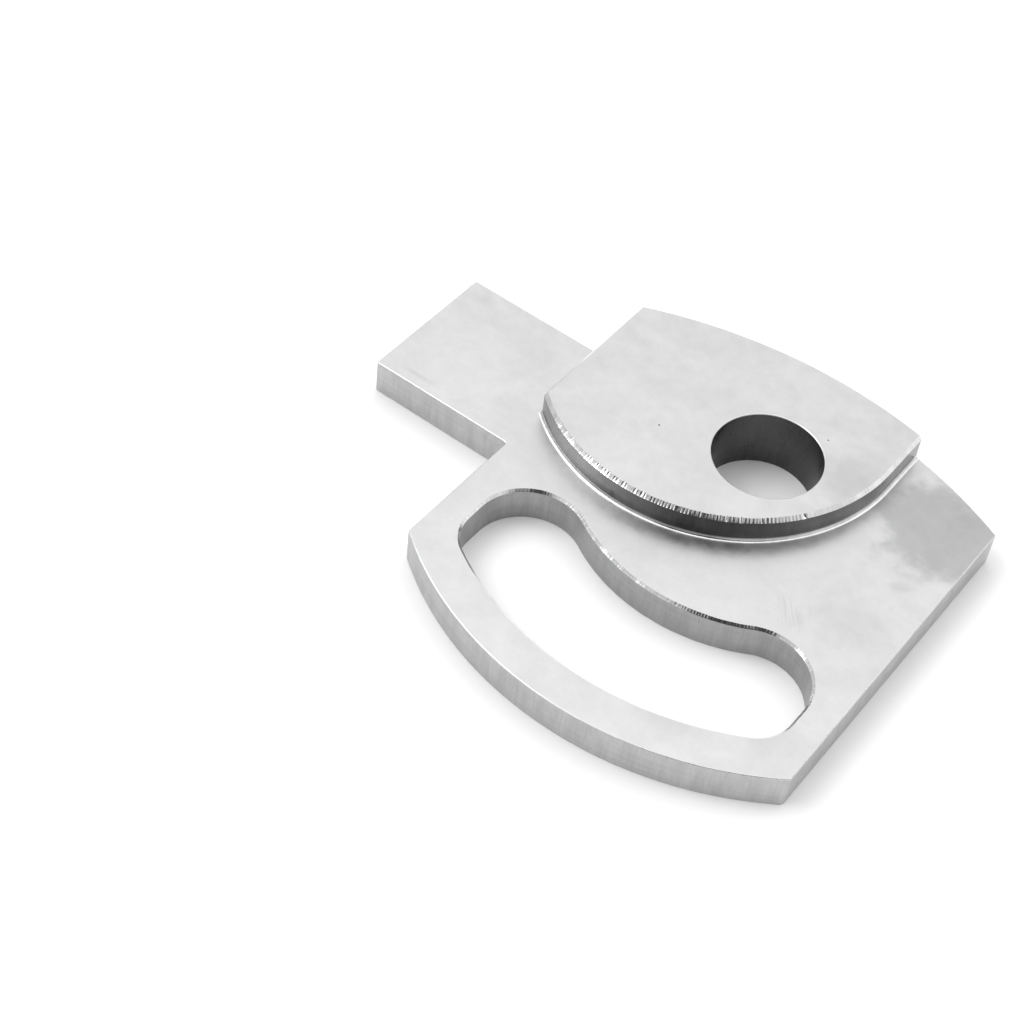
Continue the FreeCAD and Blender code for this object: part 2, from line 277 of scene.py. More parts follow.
b.strip(grid, along, [M_OUTER] * (len(WALL_ROWS) - 1) + [M_BREAK] * 3)
col_c2, col_c1 = np.array(grid[0]), np.array(grid[-1])

# ================================================================== the boss
PITCH = 0.0625
y_end_l = float(back_y(-LX, BK))
y_end_r = float(back_y(RX, BK))
a_i = math.atan2(YI - AY, -LX - ACX)
pl = seg((-LX, y_end_l), (-LX, YI), 0.15)            # left side, going down
n_pl = len(pl)
pf = arc((ACX, AY), AR, a_i, 0.0, PITCH)
pr = seg((RX, AY), (RX, y_end_r), PITCH)
bp = join([pl, pf, pr])
clear = np.ones(len(bp), bool)
clear[(bp[:, 0] > RX - 1e-6) & (bp[:, 1] > float(back_y(RX + FIL, BK)) - 0.04)] = False
clear[-1] = True
bp = bp[clear]
nb = mitre(bp, False)
nb[0], nb[-1] = (-1, 0), (1, 0)
sb = length_along(bp)
i_I = n_pl - 1                                      # column at the front left corner
s0 = sb[i_I]
sf = sb - s0                                        # distance from that corner
nf = len(bp)

# size of the chamfer and of its chatter along the front and right side
s_of_x = lambda x: AR * ((math.acos((x - ACX) / AR) * -1) - a_i)
tk = ticks(sf[-1] + 2, 0.50, 0.28, RNG)
base_depth = 0.35 + 0.65 * RNG.random(len(tk))
xs = ACX + AR * np.cos(np.clip(a_i + tk / AR, a_i, 0))
amp = (0.006 + 0.010 * smooth(-28, -24, xs) + 0.012 * smooth(-9, -6.5, xs) * (1 - smooth(-4, -2, xs))
       + 0.010 * smooth(-1, 1.5, xs) * (1 - smooth(6, 8, xs)))
amp *= 1 - 0.75 * smooth(9.5, 13.0, xs)
amp[tk > s_of_x(14.2)] *= 0.5
depth = amp * base_depth
longer = (RNG.random(len(tk)) < 0.4) * (0.03 + 0.11 * RNG.random(len(tk)))
longer *= smooth(-27, -22, xs) * (1 - 0.8 * smooth(5, 10, xs))
dsc, kk, uu = scallops(np.clip(sf, 0, None), tk, depth)
hump = (1 - (2 * uu - 1) ** 2)
fade = smooth(0.0, 1.2, sf) * (1 - smooth(sf[-1] - 2.5, sf[-1] - 1.0, sf))
drift = 0.02 * np.sin(sf * 0.9 + 1.0) + 0.015 * np.sin(sf * 2.3)
c_top = CH + fade * (1.5 * -dsc + longer[kk] * hump + drift)
c_bot = CH + fade * (-1.5 * dsc + 0.6 * drift)
c_top[:i_I] = CHL
c_bot[:i_I] = CHL
d_ch = dsc * fade
d_ch[:i_I] = 0
# a nick in the chamfer's top edge, and a few small ones
for x0, w0, dd in ((9.8, 0.16, 0.22), (-21.3, 0.10, 0.07), (5.9, 0.08, 0.10), (2.2, 0.09, 0.08), (-24.6, 0.1, 0.06)):
    k = bump(sf, s_of_x(x0), w0)
    c_top += dd * k
    d_ch -= 0.35 * dd * k

CH_T = np.array([0, .14, .28, .42, .56, .70, .85, .96, 1.0])
END_R = np.array([0, .14, .28, .42, .56, .68, .78, .88, 1.0])
END_L = np.array([0, .20, .29, .38, .50, .62, .71, .80, 1.0])
HUMP_T = np.sin(np.pi * CH_T) ** 0.6
HUMP_T[0] = HUMP_T[-1] = 0
FIL_A = np.radians([0, 11.25, 22.5, 33.75, 45, 56.25, 67.5, 78.75, 90])
BW = np.array([0.0, 0.035, 0.06, 0.5, 0.95, 1.0])   # rows of the boss wall


rim_fil = []                                        # inset vertices on the fillet, back left downward
for i in range(n_left + len(tab_c1) - 1):
    if top_in[i, 0] > FX + 1e-6:
        rim_fil.append((top_in[i, 0], top_in[i, 1], zt[i]))
i_leave = len(rim_fil)                              # first rim vertex that is on the flat
join_pt = np.array([FX, y_join, T])

# left side columns follow the inset line's own vertices, so both meet exactly
ys_left = [q[1] for q in rim_fil] + [y_join]
ys_low = seg((0, y_join), (0, YI), 0.15)[1:, 1]
ys_all = np.r_[ys_left, ys_low]
ys_all[0] = y_end_l
cols_left = np.c_[np.full(len(ys_all), -LX), ys_all]
bp = np.vstack([cols_left, bp[i_I + 1:]])
nb = np.vstack([np.tile((-1.0, 0.0), (len(cols_left) - 1, 1)), nb[i_I:]])
shift = len(cols_left) - 1 - i_I
pad = lambda a, v: np.r_[np.full(len(cols_left) - 1, v), a[i_I:]]
c_top, c_bot, d_ch, sf = pad(c_top, CHL), pad(c_bot, CHL), pad(d_ch, 0.0), np.r_[-(ys_all[:-1] - YI), sf[i_I:]]
sf[:len(cols_left) - 1] = -(ys_all[:-1] - YI)
i_I = len(cols_left) - 1
nf = len(bp)
NI = nb[i_I]

# top corner at I: 0.25 from the left side and 0.5 from the arc
n_arc = np.array([math.cos(a_i), math.sin(a_i)])
q = np.array([-LX + CHL, 0.0])
qy = math.sqrt((AR - CH) ** 2 - (q[0] - ACX) ** 2)
top_I = np.array([q[0], AY - qy])
top_I3 = np.array([top_I[0], top_I[1], H])
y_B = AY - math.sqrt((AR - CHL) ** 2 - (-LX - ACX) ** 2)   # left wall point 0.25 from the arc

# a nick low on the front, at the edge between wall and foot fillet
s_nick = s_of_x(-13.2)


def boss_column(i, side):
    """Points from the foot line up to the top line. side is -1 left, 1 front and right."""
    p, n = bp[i], nb[i]
    last = i in (0, nf - 1)
    ct, cb, dd = c_top[i], c_bot[i], d_ch[i]
    if side < 0:
        ct = cb = CHL
        dd = 0.0
    prof = []                                       # (offset outward, height)
    if side < 0 and i < len(rim_fil):
        # the fillet is cut short by the plate's own edge
        x_cut = rim_fil[i][0] if i else -W + BK
        a0 = math.asin(min(1.0, (x_cut - FX) / FIL))
    else:
        a0 = 0.0
    angs = a0 + (math.pi / 2 - a0) * (FIL_A / (math.pi / 2))
    for a in angs:
        prof.append((FIL - FIL * math.sin(a), T + FIL - FIL * math.cos(a)))
    z0, z1 = T + FIL, H - cb
    # a second, fainter line where an earlier pass stopped just above the foot
    step = 0.022 * smooth(3.0, 7.0, sf[i]) * (1 - smooth(50, 54, sf[i])) if side > 0 else 0.0
    nick = 0.05 * float(bump(sf[i], s_nick, 0.35)) if side > 0 else 0.0
    for k, u in enumerate(BW[1:]):
        o = step + nick if k == 0 else 0.0
        prof.append((o, z0 + (z1 - z0) * u))
    rows = (END_L if side < 0 else END_R) if last else CH_T
    for t, h in zip(rows[1:], HUMP_T[1:]):
        o, z = -ct * t, H - cb + cb * t
        o += dd * h * 0.7071
        z += dd * h * 0.7071
        prof.append((o, z))
    col = []
    for k, (o, z) in enumerate(prof):
        if last:
            x = p[0] + n[0] * o
            y = float(back_y(x, BK))
        else:
            x, y = p[0] + n[0] * o, p[1] + n[1] * o
        col.append([x, y, z])
    return col


FOOT = len(FIL_A) - 1
WALLR = len(BW) - 1
CHR = len(CH_T) - 1
mats_b = [M_FIL] * FOOT + [M_BWALL] * WALLR + [M_BCH] * CHR

left_cols = [boss_column(i, -1) for i in range(i_I)]
corner_l = boss_column(i_I, 1)                      # shared corner column
# columns of the left side near the corner: the wall's top line climbs from 0.5 to 0.25
fixed = []
for c, i in zip(left_cols, range(i_I)):
    y = bp[i][1]
    if y < y_B + 0.02:
        continue
    fixed.append((c, i))
keep_ids = [i for _, i in fixed]
colB = boss_column(i_I - 1, -1)
colB = [list(v) for v in colB]
for k, v in enumerate(colB):                         # put column B at y_B
    v[1] = y_B
for k in range(CHR + 1):
    t = CH_T[k]
    kk_ = FOOT + WALLR + k
    a = np.array([-LX, y_B, H - CHL])
    colB[kk_] = list(a * (1 - t) + top_I3 * t)
corner = [list(v) for v in corner_l]
for k in range(CHR + 1):
    t = CH_T[k]
    kk_ = FOOT + WALLR + k
    a = np.array([-LX, YI, H - CH])
    corner[kk_] = list(a * (1 - t) + top_I3 * t)
front_cols = [boss_column(i, 1) for i in range(i_I + 1, nf)]
cols = [c for c, _ in fixed] + [colB, corner] + front_cols
s_cols = [sf[i] for i in keep_ids] + [-(y_B - YI), 0.0] + list(sf[i_I + 1:])
# the inset back edge: all points of the first column exactly as the ledge has them
b.strip(cols, s_cols, mats_b)
cols = np.array(cols)
foot_line = cols[:, 0]
top_line = cols[:, -1]
n_fil_cols = sum(1 for i in keep_ids if i < len(rim_fil))

# ================================================== back wall and its break
# profile of the back edge, from the back right corner to the back left one:
# along the plate, up the boss's right end, along its top, down its left end
pr_end, pl_end = cols[-1], cols[0]
prof = []
xa = [x for x in x_back if x > RX + FIL + 0.12]
prof += [(x, T) for x in xa]
prof += [(q[0], q[2]) for q in pr_end]
xb = [x for x in x_back if -LX + CHL + 0.12 < x < RX - c_top[-1] - 0.12]
n_right = len(prof)
prof += [(x, H) for x in xb]
n_top_end = len(prof)
prof += [(q[0], q[2]) for q in pl_end[::-1]]
prof = np.array(prof)
m_in = mitre(np.c_[-prof[:, 0], prof[:, 1]][::-1], False)[::-1]
m_out = np.c_[-m_in[:, 0], m_in[:, 1]]
# the mitre must point out of the material: upward on the flat stretches
if m_out[2, 1] < 0:
    m_out = -m_out
m_out[0] = (0, 1)
grid = []
for k in range(len(prof)):
    x, z = prof[k]
    col = []
    for a in ROWS:
        e = BK * (1 - math.sin(a))
        o = BK * (1 - math.cos(a))
        xx, zz = x - m_out[k, 0] * o, z - m_out[k, 1] * o
        col.append((xx, float(back_y(xx, e)), zz))
    grid.append(col)
grid = np.array(grid)
grid[0] = col_c1[::-1][:4]
grid[-1] = col_c2[::-1][:4]
grid[-1][0] = cols[0][0]
b.strip(grid, np.linspace(0, 60, len(grid)), M_BREAK)
wall_top = grid[:, 3]
i0 = n_rim - 1
back_low = np.vstack([loop[i0:], loop[:1]])
low = np.c_[back_low, np.full(len(back_low), BK)]
side_l = col_c2[1:len(WALL_ROWS) - 1]                # upward
side_r = col_c1[1:len(WALL_ROWS) - 1]
ring = np.vstack([low, side_l, wall_top[::-1], side_r[::-1]])
flat2 = np.c_[-np.arctan2(ring[:, 0], ring[:, 1] - BCY) * BR, ring[:, 2]]
v2, t2 = fill(flat2)
ang = -v2[:, 0] / BR
pts = np.c_[BR * np.sin(ang), BCY + BR * np.cos(ang), v2[:, 1]]
# exact coordinates for the ring's own vertices
for k in range(len(ring)):
    j = np.argmin(np.sum((v2 - flat2[k]) ** 2, 1))
    pts[j] = ring[k]
b.tris(pts, t2, M_OUTER, v2[:, 0])

# ================================================================== the slot
lx = SX - LR
ly = -math.sqrt((SI + LR) ** 2 - lx ** 2)
cx = SX - CR
cy = -math.sqrt((SO - CR) ** 2 - cx ** 2)
al, ac = math.atan2(ly, lx), math.atan2(cy, cx)
q = [arc((0, 0), SO, -math.pi - ac, ac, PITCH * 1.6),
     arc((cx, cy), CR, ac, 0, PITCH),
     seg((SX, cy), (SX, ly), PITCH),
     arc((lx, ly), LR, 0, al + math.pi, PITCH),
     arc((0, 0), SI, al, -math.pi - al, PITCH),
     arc((-lx, ly), LR, -al, math.pi, PITCH),
     seg((-SX, ly), (-SX, cy), PITCH),
     arc((-cx, cy), CR, -math.pi, -math.pi - ac, PITCH)]
sp = join(q)[:-1]
ns = mitre(sp, True)                                # points out of the slot, into the metal
ss = length_along(np.vstack([sp, sp[:1]]))[:-1]
total = float(ss[-1] + np.linalg.norm(sp[0] - sp[-1]))
tks = ticks(total, 0.46, 0.3, RNG)
tks = tks[tks < total - 0.3]
tks = np.r_[tks, total]
dep = (0.35 + 0.65 * RNG.random(len(tks)))
far = smooth(-30.5, -27.5, sp[:, 1])                # the side next to the boss
amp_s = 0.002 + 0.004 * far
dsc, kk, uu = scallops(ss, tks, dep)
d_s = dsc * amp_s
hump = 1 - (2 * uu - 1) ** 2
lng = ((RNG.random(len(tks)) < 0.35) * (0.02 + 0.09 * RNG.random(len(tks))))[kk]
c_out = SCH - 1.5 * d_s + 0.3 * lng * hump * far + 0.012 * np.sin(ss * 0.8) + 0.010 * np.sin(ss * 1.9 + 2)
c_dn = SCH - 1.2 * d_s + 0.010 * np.sin(ss * 1.1 + 1)
edge_close = smooth(0, 0.6, ss) * (1 - smooth(total - 0.6, total, ss))
c_out = SCH + (c_out - SCH) * edge_close
c_dn = SCH + (c_dn - SCH) * edge_close
SC_T = np.array([0, .17, .34, .5, .66, .83, 1.0])
SC_H = np.sin(np.pi * SC_T) ** 0.6
SC_H[0] = SC_H[-1] = 0
grid = []
for i in range(len(sp)):
    p, n = sp[i], ns[i]
    col = []
    for a in ROWS:
        e, z = BK * (1 - math.sin(a)), BK * (1 - math.cos(a))
        col.append((p[0] + n[0] * e, p[1] + n[1] * e, z))
    z1 = T - c_dn[i]
    for u in (0.06, 0.5, 0.94, 1.0):
        col.append((p[0], p[1], BK + (z1 - BK) * u))
    for t, h in zip(SC_T[1:], SC_H[1:]):
        o = c_out[i] * t - d_s[i] * h * 0.7071
        z = z1 + c_dn[i] * t + d_s[i] * h * 0.7071
        col.append((p[0] + n[0] * o, p[1] + n[1] * o, z))
    grid.append(col)
grid = np.array(grid)
b.strip(grid, ss, [M_BREAK] * 3 + [M_SLOT] * 4 + [M_SCH] * (len(SC_T) - 1), closed=True)
slot_top, slot_low = grid[:, -1, :2], grid[:, 0, :2]

# ================================================================== the bore
nb_ = 300
ang = np.linspace(0, 2 * math.pi, nb_, endpoint=False)
grid = []
for a0 in ang:
    c_, s_ = math.cos(a0), math.sin(a0)
    col = []
    for a in ROWS:
        e, z = BK * (1 - math.sin(a)), BK * (1 - math.cos(a))
        col.append(((BORE_R + e) * c_, (BORE_R + e) * s_, z))
    for u in (0.04, 0.5, 0.96, 1.0):
        col.append((BORE_R * c_, BORE_R * s_, BK + (H - 2 * BK) * u))
    for a in ROWS[::-1][1:]:
        e, z = BK * (1 - math.sin(a)), H - BK * (1 - math.cos(a))
        col.append(((BORE_R + e) * c_, (BORE_R + e) * s_, z))
    grid.append(col)
grid = np.array(grid)
b.strip(grid, ang * BORE_R, [M_BREAK] * 3 + [M_BORE] * 4 + [M_BREAK] * 3, closed=True)
bore_top, bore_low = grid[:, -1, :2], grid[:, 0, :2]

# =============================================================== flat faces
v2, t2 = fill(under_outer, [slot_low, bore_low])
b.tris(np.c_[v2, np.zeros(len(v2))], t2, M_UNDER)

# plate top: rim from the tab corner round to the back right, the back edge to
# the boss, and back along the foot of the boss
part_a = top_in[i_leave:]
part_b = np.array([(x, float(back_y(x, BK))) for x in xa])[1:]
part_c = foot_line[::-1][:, :2]
part_c = part_c[: len(part_c) - n_fil_cols - 1]
outer = np.vstack([part_a, part_b, part_c])
v2, t2 = fill(outer, [slot_top])
b.tris(np.c_[v2, np.full(len(v2), T)], t2, M_PLATE)

# boss top, with two tiny pits
back_line = np.array([(x, float(back_y(x, BK))) for x in xb])
outer = np.vstack([top_line[:, :2], back_line])
PITS = [(-14.4, -5.3, 0.15, 0.12), (4.7, 8.1, 0.14, 0.10)]
extra = []
for x, y, r, d in PITS:
    extra.append((x, y))
    for rr in (0.5 * r, r):
        for a in np.linspace(0, 2 * math.pi, 12, endpoint=False):
            extra.append((x + rr * math.cos(a), y + rr * math.sin(a)))
v2, t2 = fill(outer, [bore_top], extra)
zz = np.full(len(v2), H)
for x, y, r, d in PITS:
    rr = np.hypot(v2[:, 0] - x, v2[:, 1] - y)
    zz -= d * np.clip(1 - rr / r, 0, 1)
b.tris(np.c_[v2, zz], t2, M_BOSS)

# ========================================================= weld and make mesh
V = np.concatenate(b.v)
A = np.concatenate(b.a)
key = np.round(V * 2e4).astype(np.int64)
_, first, inv = np.unique(key, axis=0, return_index=True, return_inverse=True)
inv = inv.reshape(-1)
faces, mats, corner_s = [], [], []
for f, m in zip(b.f, b.m):
    g, gs = [], []
    for k in f:
        j = int(inv[k])
        if not g or (g[-1] != j):
            g.append(j)
            gs.append(A[k])
    if len(g) > 1 and g[0] == g[-1]:
        g.pop()
        gs.pop()
    if len(set(g)) >= 3 and len(set(g)) == len(g):
        faces.append(g)
        mats.append(m)
        corner_s += gs
me = bpy.data.meshes.new("slotted_plate_fine")
me.from_pydata((V[first] * 0.001).tolist(), [], faces)
me.polygons.foreach_set("material_index", np.array(mats, np.int32))
# distance along each wall, kept per face corner
at = me.attributes.new("along", "FLOAT", "CORNER")
at.data.foreach_set("value", np.array(corner_s, np.float32))
me.update()

bm = bmesh.new()
bm.from_mesh(me)
bmesh.ops.recalc_face_normals(bm, faces=bm.faces)
open_e = [e for e in bm.edges if len(e.link_faces) != 2]
print("fine mesh: verts %d faces %d open or doubled edges %d" % (len(bm.verts), len(bm.faces), len(open_e)))
for e in open_e[:24]:
    a_, c_ = e.verts[0].co * 1000, e.verts[1].co * 1000
    print("   open edge (%.4f, %.4f, %.4f)-(%.4f, %.4f, %.4f) faces %d" % (*a_, *c_, len(e.link_faces)))
for e in bm.edges:
    f1, f2 = e.link_faces[0], e.link_faces[1]
    pit = f1.material_index == M_BOSS and f1.normal.angle(f2.normal, 0.0) > 0.1
    if pit or f1.material_index != f2.material_index:
        e.smooth = False
print("volume mm3 %.1f" % (bm.calc_volume() * 1e9))
bm.to_mesh(me)
bm.free()
me.polygons.foreach_set("use_smooth", np.ones(len(me.polygons), bool))
plate = bpy.data.objects.new("slotted_plate_fine", me)
scene.collection.objects.link(plate)

# ================================================================= materials
class Nodes:
    """Short names for the nodes of one material. Lengths are in millimetres."""

    def __init__(self, name):
        self.m = bpy.data.materials.new(name)
        self.m.use_nodes = True
        self.t = self.m.node_tree
        self.bsdf = self.t.nodes["Principled BSDF"]
        co = self.t.nodes.new("ShaderNodeTexCoord")
        self.mm = self.vec("SCALE", co.outputs["Object"], scale=1000.0)
        sep = self.t.nodes.new("ShaderNodeSeparateXYZ")
        self.t.links.new(self.mm, sep.inputs[0])
        self.x, self.y, self.z = sep.outputs
        at_ = self.t.nodes.new("ShaderNodeAttribute")
        at_.attribute_name = "along"
        self.s = at_.outputs["Fac"]

    def put(self, socket, v):
        if isinstance(v, bpy.types.NodeSocket):
            self.t.links.new(v, socket)
        elif v is not None:
            socket.default_value = v

    def vec(self, op, a, b_=None, scale=None):
        n = self.t.nodes.new("ShaderNodeVectorMath")
        n.operation = op
        self.put(n.inputs[0], a)
        if b_ is not None:
            self.put(n.inputs[1], b_)
        if scale is not None:
            n.inputs["Scale"].default_value = scale
        return n.outputs["Value"] if op in ("LENGTH", "DOT_PRODUCT") else n.outputs["Vector"]

    def f(self, op, a, b_=None, c=None, clamp=False):
        n = self.t.nodes.new("ShaderNodeMath")
        n.operation = op
        n.use_clamp = clamp
        for k, v in enumerate((a, b_, c)):
            if v is not None:
                self.put(n.inputs[k], v)
        return n.outputs[0]

    def xyz(self, x, y, z=0.0):
        n = self.t.nodes.new("ShaderNodeCombineXYZ")
        for k, v in enumerate((x, y, z)):
            self.put(n.inputs[k], v)
        return n.outputs[0]

    def noise(self, vec, scale=1.0, detail=3.0, rough=0.55, bend=0.0):
        n = self.t.nodes.new("ShaderNodeTexNoise")
        n.inputs["Scale"].default_value = scale
        n.inputs["Detail"].default_value = detail
        n.inputs["Roughness"].default_value = rough
        n.inputs["Distortion"].default_value = bend
        self.t.links.new(vec, n.inputs["Vector"])
        return n.outputs["Fac"]

    def ramp(self, v, a, b_, lo=0.0, hi=1.0, soft=True):
        n = self.t.nodes.new("ShaderNodeMapRange")
        n.interpolation_type = "SMOOTHSTEP" if soft else "LINEAR"
        self.put(n.inputs["Value"], v)
        for k, q_ in (("From Min", a), ("From Max", b_), ("To Min", lo), ("To Max", hi)):
            n.inputs[k].default_value = q_
        return n.outputs[0]

    def moved(self, sx, sy, sz=1.0, turn=0.0, shift_=0.0):
        """Coordinates in mm turned about Z, then stretched."""
        n = self.t.nodes.new("ShaderNodeMapping")
        n.vector_type = "POINT"
        self.t.links.new(self.mm, n.inputs["Vector"])
        n.inputs["Rotation"].default_value = (0, 0, turn)
        n.inputs["Scale"].default_value = (1, 1, 1)
        n.inputs["Location"].default_value = (shift_, shift_ * 0.7, 0)
        return self.vec("MULTIPLY", n.outputs[0], (sx, sy, sz))

    def blob(self, x0, y0, rx, ry, turn=0.0, wob=0.0, core=0.35):
        """1 at a place on the plan, falling softly to 0 over rx and ry."""
        ca, sa = math.cos(turn), math.sin(turn)
        dx = self.f("SUBTRACT", self.x, x0)
        dy = self.f("SUBTRACT", self.y, y0)
        u = self.f("ADD", self.f("MULTIPLY", dx, ca / rx), self.f("MULTIPLY", dy, sa / rx))
        v = self.f("ADD", self.f("MULTIPLY", dx, -sa / ry), self.f("MULTIPLY", dy, ca / ry))
        r = self.vec("LENGTH", self.xyz(u, v))
        if wob:
            w_ = self.noise(self.mm, 0.28, 3.0)
            r = self.f("ADD", r, self.f("MULTIPLY", self.f("SUBTRACT", w_, 0.5), wob))
        return self.ramp(r, core, 1.0, 1.0, 0.0)

    def less(self, value, amount, mask):
        """value * (1 - amount * mask)"""
        return self.f("MULTIPLY", value, self.f("SUBTRACT", 1.0, self.f("MULTIPLY", mask, amount)))

    def done(self, grey, rough, heights, aniso=0.0):
        """Sets colour, roughness and bump. heights: list of (value, depth in mm)."""
        b_ = self.bsdf
        b_.inputs["Metallic"].default_value = 1.0
        if isinstance(grey, float):
            b_.inputs["Base Color"].default_value = (grey, grey, grey * 1.003, 1)
        else:
            n = self.t.nodes.new("ShaderNodeCombineColor")
            self.t.links.new(grey, n.inputs[0])
            self.t.links.new(grey, n.inputs[1])
            self.t.links.new(self.f("MULTIPLY", grey, 1.004), n.inputs[2])
            self.t.links.new(n.outputs[0], b_.inputs["Base Color"])
        self.put(b_.inputs["Roughness"], rough)
        last = None
        for v, d in heights:
            n = self.t.nodes.new("ShaderNodeBump")
            n.inputs["Strength"].default_value = 1.0
            n.inputs["Distance"].default_value = d * 0.001
            self.t.links.new(v, n.inputs["Height"])
            if last is not None:
                self.t.links.new(last, n.inputs["Normal"])
            last = n.outputs[0]
        if last is not None:
            self.t.links.new(last, b_.inputs["Normal"])
        return self.m


def top_face(name, base, kind):
    g = Nodes(name)
    cloud = g.noise(g.mm, 0.11, 4.0, 0.6, 0.6)
    mottle = g.noise(g.mm, 0.55, 4.0, 0.62, 0.3)
    grain = g.noise(g.mm, 4.2, 3.0, 0.65)
    v = g.f("MULTIPLY", base, g.ramp(cloud, 0.32, 0.68, 0.955, 1.03))
    v = g.f("MULTIPLY", v, g.ramp(mottle, 0.3, 0.7, 0.965, 1.025))
    v = g.f("MULTIPLY", v, g.ramp(grain, 0.25, 0.75, 0.975, 1.02))
    rough = g.ramp(mottle, 0.3, 0.7, 0.33, 0.42)
    # long, very fine draw marks from deburring
    draw1 = g.noise(g.moved(0.10, 4.5, 1.0, math.radians(28)), 1.0, 2.0, 0.5)
    draw2 = g.noise(g.moved(0.35, 9.0, 1.0, math.radians(-41), 3.0), 1.0, 2.0, 0.5)
    sparse = g.ramp(g.noise(g.mm, 0.2, 2.0), 0.48, 0.62)
    scr = g.f("MULTIPLY", g.ramp(draw2, 0.66, 0.72), sparse)
    v = g.less(v, 0.06, scr)
    marks = []
    if kind == "plate":
        marks = [
            # the right and back part is darkened, with a cloudy border: a painted dark reflection
            (g.blob(27.0, 8.5, 17.0, 11.0, 0.1, 0.9, 0.55), 0.30),
            (g.blob(24.6, -4.5, 2.2, 1.3, 0.5, 0.8, 0.2), 0.12),
            (g.blob(23.0, -14.0, 9.0, 7.0, 0.4, 0.9, 0.2), 0.09),
            (g.blob(14.0, -42.0, 7.0, 3.0, 0.2, 0.9, 0.2), 0.07),
            (g.blob(24.0, -36.0, 5.0, 5.0, 0.2, 0.9, 0.2), 0.08),
            (g.blob(-50.0, 1.4, 3.0, 1.8, 0.3, 0.9, 0.1), 0.06),
            (g.blob(-47.0, -16.9, 4.2, 0.55, 0.0, 0.5, 0.1), 0.12),
        ]
        lanes = g.noise(g.moved(0.12, 5.0, 1.0, math.radians(52)), 1.0, 2.0, 0.6)
        patch = g.blob(16.0, -18.0, 5.0, 4.0, 0.6, 0.8, 0.2)
        v = g.less(v, 0.10, g.f("MULTIPLY", patch, g.ramp(lanes, 0.52, 0.60)))
    elif kind == "boss":
        marks = [
            (g.blob(-11.0, -12.8, 3.2, 1.8, 0.2, 0.9, 0.1), 0.03),
            (g.blob(5.5, 12.4, 5.0, 3.0, 0.2, 0.9, 0.1), 0.05),
            (g.blob(11.0, 4.0, 7.0, 8.0, 0.2, 0.9, 0.1), 0.12),
        ]
        # the pits are darkened in colour: painted shade in the pits
        for x_, y_, r_, d_ in PITS:
            v = g.less(v, 0.8, g.blob(x_, y_, r_ * 1.1, r_ * 1.1, 0, 0, 0.4))
    for mask, k in marks:
        v = g.less(v, k, mask)
    fine = g.noise(g.mm, 7.0, 2.0, 0.6)
    return g.done(v, rough, [(mottle, 0.012), (draw1, 0.003), (fine, 0.002)])


def wall_face(name, base, rough, streak=4.0):
    """A milled wall: faint upright cutter marks, and faint bands along it."""
    g = Nodes(name)
    up = g.noise(g.xyz(g.f("MULTIPLY", g.s, streak), g.f("MULTIPLY", g.z, 0.22)), 1.0, 3.0, 0.6)
    up2 = g.noise(g.xyz(g.f("MULTIPLY", g.s, streak * 0.22), g.f("MULTIPLY", g.z, 0.15)), 1.0, 2.0, 0.5)
    band = g.noise(g.xyz(g.f("MULTIPLY", g.s, 0.05), g.f("MULTIPLY", g.z, 1.6)), 1.0, 2.0, 0.5)
    grain = g.noise(g.mm, 3.0, 3.0, 0.6)
    v = g.f("MULTIPLY", base, g.ramp(up, 0.3, 0.7, 0.93, 1.06))
    v = g.f("MULTIPLY", v, g.ramp(up2, 0.3, 0.7, 0.94, 1.05))
    v = g.f("MULTIPLY", v, g.ramp(band, 0.3, 0.7, 0.96, 1.03))
    v = g.f("MULTIPLY", v, g.ramp(grain, 0.3, 0.7, 0.97, 1.03))
    r = g.ramp(up, 0.3, 0.7, rough - 0.04, rough + 0.05)
    return g.done(v, r, [(up, 0.004), (grain, 0.0015)])


# The base greys differ by kind of face, though the part is one metal. The outline wall (0.50), slot wall (0.36), pad
# wall (0.19) and bore wall (0.10) are darker than the tops (0.57): painted shade. The chamfers (0.86), the foot
# fillet (0.68) and the edge breaks (0.62) are lighter than the tops: painted highlight.
MATS = {
    M_PLATE: top_face("aluminium_plate_face", 0.57, "plate"),
    M_BOSS: top_face("aluminium_pad_face", 0.57, "boss"),
    M_UNDER: top_face("aluminium_underside", 0.57, "under"),
    M_OUTER: wall_face("aluminium_outline_wall_painted_shade", 0.50, 0.42, 3.0),
    M_SLOT: wall_face("aluminium_slot_wall_painted_shade", 0.36, 0.36, 3.5),
    M_BORE: wall_face("aluminium_bore_wall_painted_shade", 0.10, 0.30, 1.6),
    M_BWALL: wall_face("aluminium_pad_wall_painted_shade", 0.19, 0.20, 2.0),
    M_BCH: wall_face("aluminium_pad_chamfer_painted_highlight", 0.86, 0.20, 3.0),
    M_SCH: wall_face("aluminium_slot_chamfer_painted_highlight", 0.86, 0.20, 3.0),
    M_FIL: wall_face("aluminium_foot_fillet_painted_highlight", 0.68, 0.22, 1.0),
    M_BREAK: wall_face("aluminium_edge_break", 0.62, 0.30, 1.0),
}
for k_ in range(11):
    me.materials.append(MATS[k_])

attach(plate, "root")
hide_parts("slotted_plate")

cam_d = bpy.data.cameras.new("camera")
cam_d.lens = 75.357
cam_d.sensor_width = 36.0
cam_d.clip_start = 0.01
cam_d.clip_end = 20
cam = bpy.data.objects.new("camera", cam_d)
scene.collection.objects.link(cam)
cam.matrix_world = Matrix([[0.79141, -0.50269, 0.347812, 0.077441],
                           [0.605043, 0.563058, -0.562929, -0.188839],
                           [0.08714, 0.655948, 0.749759, 0.219298], [0, 0, 0, 1]])
scene.camera = cam

